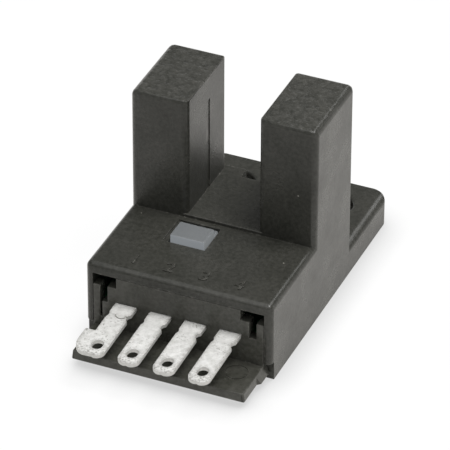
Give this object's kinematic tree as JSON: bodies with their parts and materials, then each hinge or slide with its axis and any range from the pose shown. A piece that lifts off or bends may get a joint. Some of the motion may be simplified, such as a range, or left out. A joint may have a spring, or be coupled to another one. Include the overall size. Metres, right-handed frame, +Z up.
{
  "type": "slotted optical switch",
  "caption": "Black moulded slotted optical switch with two upright arms, flat tinned solder terminals, a grey indicator light pipe and a rear flange with screw holes",
  "frame": {"origin": "midway between the two screw holes of the rear flange, on the underside of the case", "axes": "X across the case to the right as seen from the terminals, Y along the case from the terminals to the rear flange, Z up out of the mounting surface along the screw holes"},
  "size_m": [0.0136, 0.0273, 0.0154],
  "materials": {
    "black_moulding": "fine grained moulded black plastic",
    "cover_moulding": "moulded black plastic",
    "tinned_sheet": "stamped sheet with bright mottled tin",
    "grey_resin": "clouded translucent resin",
    "board_laminate": "lacquered glass-fibre laminate",
    "smoked_resin": "infrared-clear dark resin",
    "tinned_wire": "tinned wire",
    "white_resin": "white moulded resin",
    "chip_moulding": "black moulding compound",
    "ceramic": "fired ceramic",
    "solder": "bright solder"
  },
  "bodies": {
    "root": {"case": "black_moulding", "base_cover": "cover_moulding", "terminal_1": "tinned_sheet", "terminal_2": "tinned_sheet", "terminal_3": "tinned_sheet", "terminal_4": "tinned_sheet", "indicator_lens": "grey_resin", "circuit_board": "board_laminate", "emitter": "smoked_resin", "emitter_leads": "tinned_wire", "receiver": "smoked_resin", "receiver_leads": "tinned_wire", "indicator_lamp": "white_resin", "output_transistor": "chip_moulding", "protection_diode": "chip_moulding", "chip_resistors": "ceramic", "bypass_capacitor": "ceramic", "solder_joints": "solder"}
  },
  "joints": []
}
